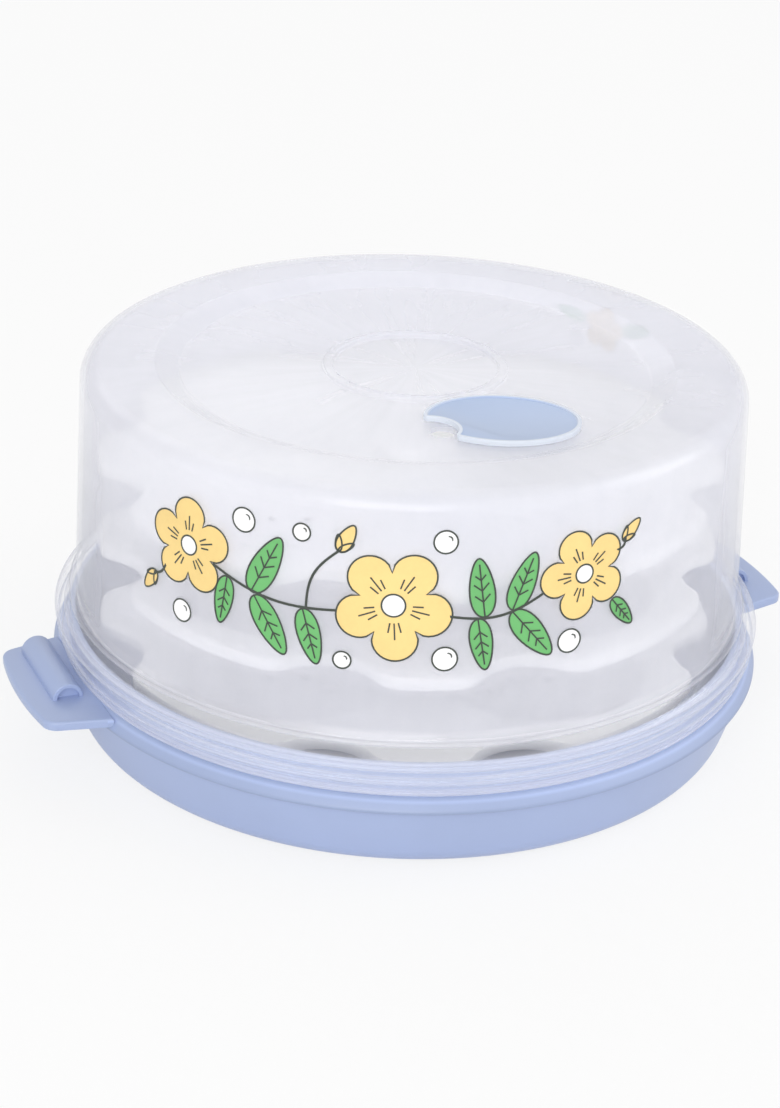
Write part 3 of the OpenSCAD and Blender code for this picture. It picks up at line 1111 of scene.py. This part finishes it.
def filled(ink, path):
    """A shape in one ink and its outline, as (ink, path) pairs."""
    return [(ink, path), ("outline", path)]


def line(start, end, *settings):
    """A line, as an (ink, path) pair in a list."""
    return [("line", stroke(start, end, *settings))]


# A straight line's bow, half width and steps
STRAIGHT = (0.0, 0.22 * MM, 3)


def leaf(centre, size, turn):
    """A leaf with its outline, rib and side veins."""
    shapes = filled("green", pointed(centre, size, size * 0.5, turn))
    shapes += line(centre, centre + polar(size * 0.9, turn))
    for share, reach in ((0.26, 0.17), (0.45, 0.17), (0.63, 0.12)):
        foot = centre + polar(size * share, turn)
        for side in (-1, 1):
            shapes += line(foot, foot + polar(size * reach, turn + side * 0.8), *STRAIGHT)
    return shapes


def flower(centre, size, turn):
    """A flower with three lines in each petal and a ringed middle."""
    shapes = filled("yellow", lobed(centre, size, turn)) + filled("white", disc(centre, size * 0.2))
    for i in range(5):
        way = turn + math.tau * i / 5
        for lean, reach in ((-0.22, 0.5), (0.0, 0.62), (0.22, 0.5)):
            start = centre + polar(size * 0.32, way + lean)
            shapes += line(start, centre + polar(size * reach, way + lean), *STRAIGHT)
    return shapes


def bud(centre, size, turn):
    """A closed bud in two sepals."""
    shapes = filled("yellow", pointed(centre, size, size * 0.62, turn))
    for side in (-1, 1):
        shapes += filled("green", pointed(centre, size * 0.55, size * 0.26, turn + side * 0.55))
    return shapes


def berry(centre, size, turn):
    """A white berry with a short shine line."""
    ends = [centre + polar(size * 0.55, turn + side * 0.5) for side in (-1, 1)]
    return filled("white", disc(centre, size)) + line(*ends, size * -0.12)


# Each stem's two ends and bow, and each other part's place, size and direction, in millimetres
# and degrees
STEMS = (
    (-51, 1, -12, -5, -3), (20, -5, 47, 0, -3), (-21, -6, -12, 13, 3), (-69, -5, -74, -9, 1),
    (71, 9, 74, 12, -1),
)
SPRAY = (
    (leaf, (
        (-38, -4, 20, 64), (-37, -5, 19, -58), (-22, -6, 17, -74), (-46, -1.5, 15, -98),
        (30, -5.5, 18, 98), (38, -4, 18, 70), (38, -4.5, 19, -50), (28, -6, 16, -80), (70, -6, 12, -50),
    )),
    (bud, ((-12, 13, 9, 62), (73, 11.5, 8, 42), (-73, -8.5, 8, 232))),
    (flower, ((-60, 4, 14.5, 18), (4, -2, 17, -14), (60, 4, 14, 40))),
    (berry, (
        (-41, 17, 3.6, 40), (-62, -17, 3.4, 40), (-23, 17, 2.6, 40), (18, 17.5, 3.4, 40),
        (19, -18, 3.6, 40), (56, -16, 3.6, 40), (-10, -20, 2.6, 40),
    )),
)
SPRIG = (
    (leaf, ((-8, 1.5, 12, 165), (8, 1.5, 11, 14))),
    (flower, ((0, 0, 8, 30),)),
    (berry, ((11, -6, 2.2, 40),)),
)


def garland(stems, parts):
    """The outlines of a printed design: a list of (ink, path)."""
    shapes = []
    for x0, y0, x1, y1, bow in stems:
        shapes += line(Vector((x0, y0)) * MM, Vector((x1, y1)) * MM, bow * MM, 0.4 * MM)
    for draw, rows in parts:
        for x, y, size, turn in rows:
            shapes += draw(Vector((x, y)) * MM, size * MM, math.radians(turn))
    return shapes


# Millimetres between the cuts across a print, at which it bends round the wall
BEND_STEP = 2


def printed(name, shapes, lid, look, turn, middle_z, low, material):
    """One ink of the print as thin solid islands on the dome's wall; an outline becomes a narrow band."""
    at_rest()
    shape = bmesh.new()

    def points(path):
        return [shape.verts.new((p.x, 0, p.y)) for p in path]

    for kind, path in shapes:
        if kind != "outline":
            shape.faces.new(points(path))
            continue
        inner = points(grown(path, -look.line / 2))
        outer = points(grown(path, look.line / 2))
        for i, corner in enumerate(inner):
            shape.faces.new((outer[i - 1], outer[i], corner, inner[i - 1]))
    mesh = bpy.data.meshes.new(name)
    shape.to_mesh(mesh)
    shape.free()
    obj = bpy.data.objects.new(name, mesh)
    bpy.context.scene.collection.objects.link(obj)
    edit(obj)
    reach = math.ceil(max(abs(v.co.x) for v in mesh.vertices) / MM)
    for x in range(-reach, reach, BEND_STEP):
        bpy.ops.mesh.select_all(action="SELECT")
        bpy.ops.mesh.bisect(plane_co=(x * MM, 0, 0), plane_no=(1, 0, 0))
    at_rest()
    for vertex in mesh.vertices:
        vertex.co = on_wall(lid, turn, vertex.co.x, middle_z + vertex.co.z, low)
    modify(obj, "SOLIDIFY", thickness=look.ink, offset=1.0)
    smooth(obj)
    dress(obj, name, "lid", material)


class STEAMER_OT_print(bpy.types.Operator):
    """Lay the printed garland on the dome's front and a sprig on its back"""

    bl_idname = "idli_steamer.print"
    bl_label = "Print"

    def execute(self, context):
        scene = context.scene
        look = scene.steamer_print
        finish = scene.steamer_finish
        inks = (
            ("green", finish.green, ("green",), 0), ("yellow", finish.yellow, ("yellow",), 1),
            ("white", finish.white, ("white",), 2), ("dark", finish.dark, ("outline", "line"), 3),
        )
        lift = 0.01 * MM
        pitch = look.ink * 1.1
        for place, shapes, turn, middle_z in (
            ("front", garland(STEMS, SPRAY), look.direction, look.middle_z),
            ("back", garland((), SPRIG), look.back_direction, look.back_z),
        ):
            for ink, tone, kinds, layer in inks:
                material = plastic(
                    ink + " ink", tone, rough=0.42, contrast=0.06, bump=0.1, grain_scale=700.0,
                    cloud_scale=60.0
                )
                printed(
                    "print_" + ink + "_" + place, [pair for pair in shapes if pair[0] in kinds],
                    scene.steamer_lid, look, turn, middle_z, lift + layer * pitch, material
                )
        return {"FINISHED"}


# Studio

LAMPS = (
    ("key", (-1.0, -1.65, 0.95), 21.0),
    ("fill", (1.5, -0.6, 1.2), 8.0),
    ("back", (0.2, 1.6, 1.5), 4.0),
)
LAMP_SIZE = 1.4
OBJECT_MIDDLE = Vector((0, 0, 0.05))
FLOOR_GLOW = 0.8
WORLD_LIGHT = 0.62
CAMERA_PLACE = Vector((-0.3113, -0.6675, 0.4051))
CAMERA_WAY = Vector((0.37461, 0.81937, -0.43391))
CAMERA_ROLL = 0.0380283
CAMERA_LENS = 83.38


def lamp(name, place, power):
    """A square soft lamp that points at the object's middle."""
    at_rest()
    bpy.ops.object.light_add(type="AREA", location=place)
    obj = bpy.context.object
    obj.name = name
    obj.data.size = LAMP_SIZE
    obj.data.energy = power
    way = OBJECT_MIDDLE - Vector(place)
    obj.rotation_euler = way.to_track_quat("-Z", "Y").to_euler()


def seen_directly(tree):
    """1 for camera, glossy and transmission rays, and 0 for the rays that light the object."""
    rays = tree.nodes.new("ShaderNodeLightPath").outputs
    some = calc(tree, "MAXIMUM", rays["Is Camera Ray"], rays["Is Glossy Ray"])
    return calc(tree, "MAXIMUM", some, rays["Is Transmission Ray"])


class STEAMER_OT_stage(bpy.types.Operator):
    """Set up the floor, the lamps, the white surroundings and the camera"""

    bl_idname = "idli_steamer.stage"
    bl_label = "Stage"

    def execute(self, context):
        scene = context.scene
        scene.view_settings.view_transform = "Standard"
        self.floor()
        self.world(scene)
        for row in LAMPS:
            lamp(*row)
        self.camera(scene)
        return {"FINISHED"}

    def floor(self):
        at_rest()
        bpy.ops.mesh.primitive_plane_add(size=12.0, location=(0, 0, 0))
        obj = bpy.context.object
        obj.name = "floor"
        material = bpy.data.materials.new("pale floor")
        material.use_nodes = True
        tree, skin = parts_of(material)
        feed(tree, skin, {"Base Color": (0.9, 0.9, 0.9, 1.0), "Roughness": 0.9})
        both = node(
            tree, "ShaderNodeMixShader", calc(tree, "MULTIPLY", seen_directly(tree), FLOOR_GLOW),
            tree.nodes["Principled BSDF"].outputs["BSDF"],
            node(tree, "ShaderNodeEmission", Strength=1.0).outputs["Emission"]
        )
        feed(tree, tree.nodes["Material Output"].inputs, {"Surface": both.outputs["Shader"]})
        obj.data.materials.append(material)

    def world(self, scene):
        world = bpy.data.worlds.new("white surroundings")
        scene.world = world
        world.use_nodes = True
        tree = world.node_tree
        feed(tree, tree.nodes["Background"].inputs, {
            "Color": (1.0, 1.0, 1.0, 1.0),
            "Strength": mapped(tree, seen_directly(tree), new=(WORLD_LIGHT, 1.0)),
        })

    def camera(self, scene):
        forward = CAMERA_WAY.normalized()
        level_right = forward.cross(Vector((0, 0, 1))).normalized()
        level_up = level_right.cross(forward)
        right = level_right * math.cos(CAMERA_ROLL) + level_up * math.sin(CAMERA_ROLL)
        up = level_up * math.cos(CAMERA_ROLL) - level_right * math.sin(CAMERA_ROLL)
        bpy.ops.object.camera_add()
        obj = bpy.context.object
        obj.name = "camera"
        turned = Matrix((right, up, -forward)).transposed().to_4x4()
        obj.matrix_world = Matrix.Translation(CAMERA_PLACE) @ turned
        obj.data.sensor_width = 36.0
        obj.data.sensor_fit = "AUTO"
        obj.data.lens = CAMERA_LENS
        scene.camera = obj


OPERATORS = (
    STEAMER_OT_stage, STEAMER_OT_dish, STEAMER_OT_plates, STEAMER_OT_lid, STEAMER_OT_vent, STEAMER_OT_print,
)


class STEAMER_PT_panel(bpy.types.Panel):
    """Sizes, colours and pieces of the idli steamer"""

    bl_label = "Idli steamer"
    bl_idname = "STEAMER_PT_panel"
    bl_space_type = "VIEW_3D"
    bl_region_type = "UI"
    bl_category = "Idli steamer"

    def draw(self, context):
        for kind in OPERATORS:
            self.layout.operator(kind.bl_idname)
        for name, group in GROUPS.items():
            box = self.layout.box()
            box.label(text=group.__doc__)
            for key in group.__annotations__:
                box.prop(getattr(context.scene, name), key)


CLASSES = (*GROUPS.values(), *OPERATORS, STEAMER_PT_panel)


def register():
    for kind in CLASSES:
        bpy.utils.register_class(kind)
    for name, group in GROUPS.items():
        setattr(bpy.types.Scene, name, PointerProperty(type=group))


def unregister():
    for name in GROUPS:
        delattr(bpy.types.Scene, name)
    for kind in reversed(CLASSES):
        bpy.utils.unregister_class(kind)


def main():
    register()
    for kind in OPERATORS:
        space, name = kind.bl_idname.split(".")
        getattr(getattr(bpy.ops, space), name)()


if __name__ == "__main__":
    main()
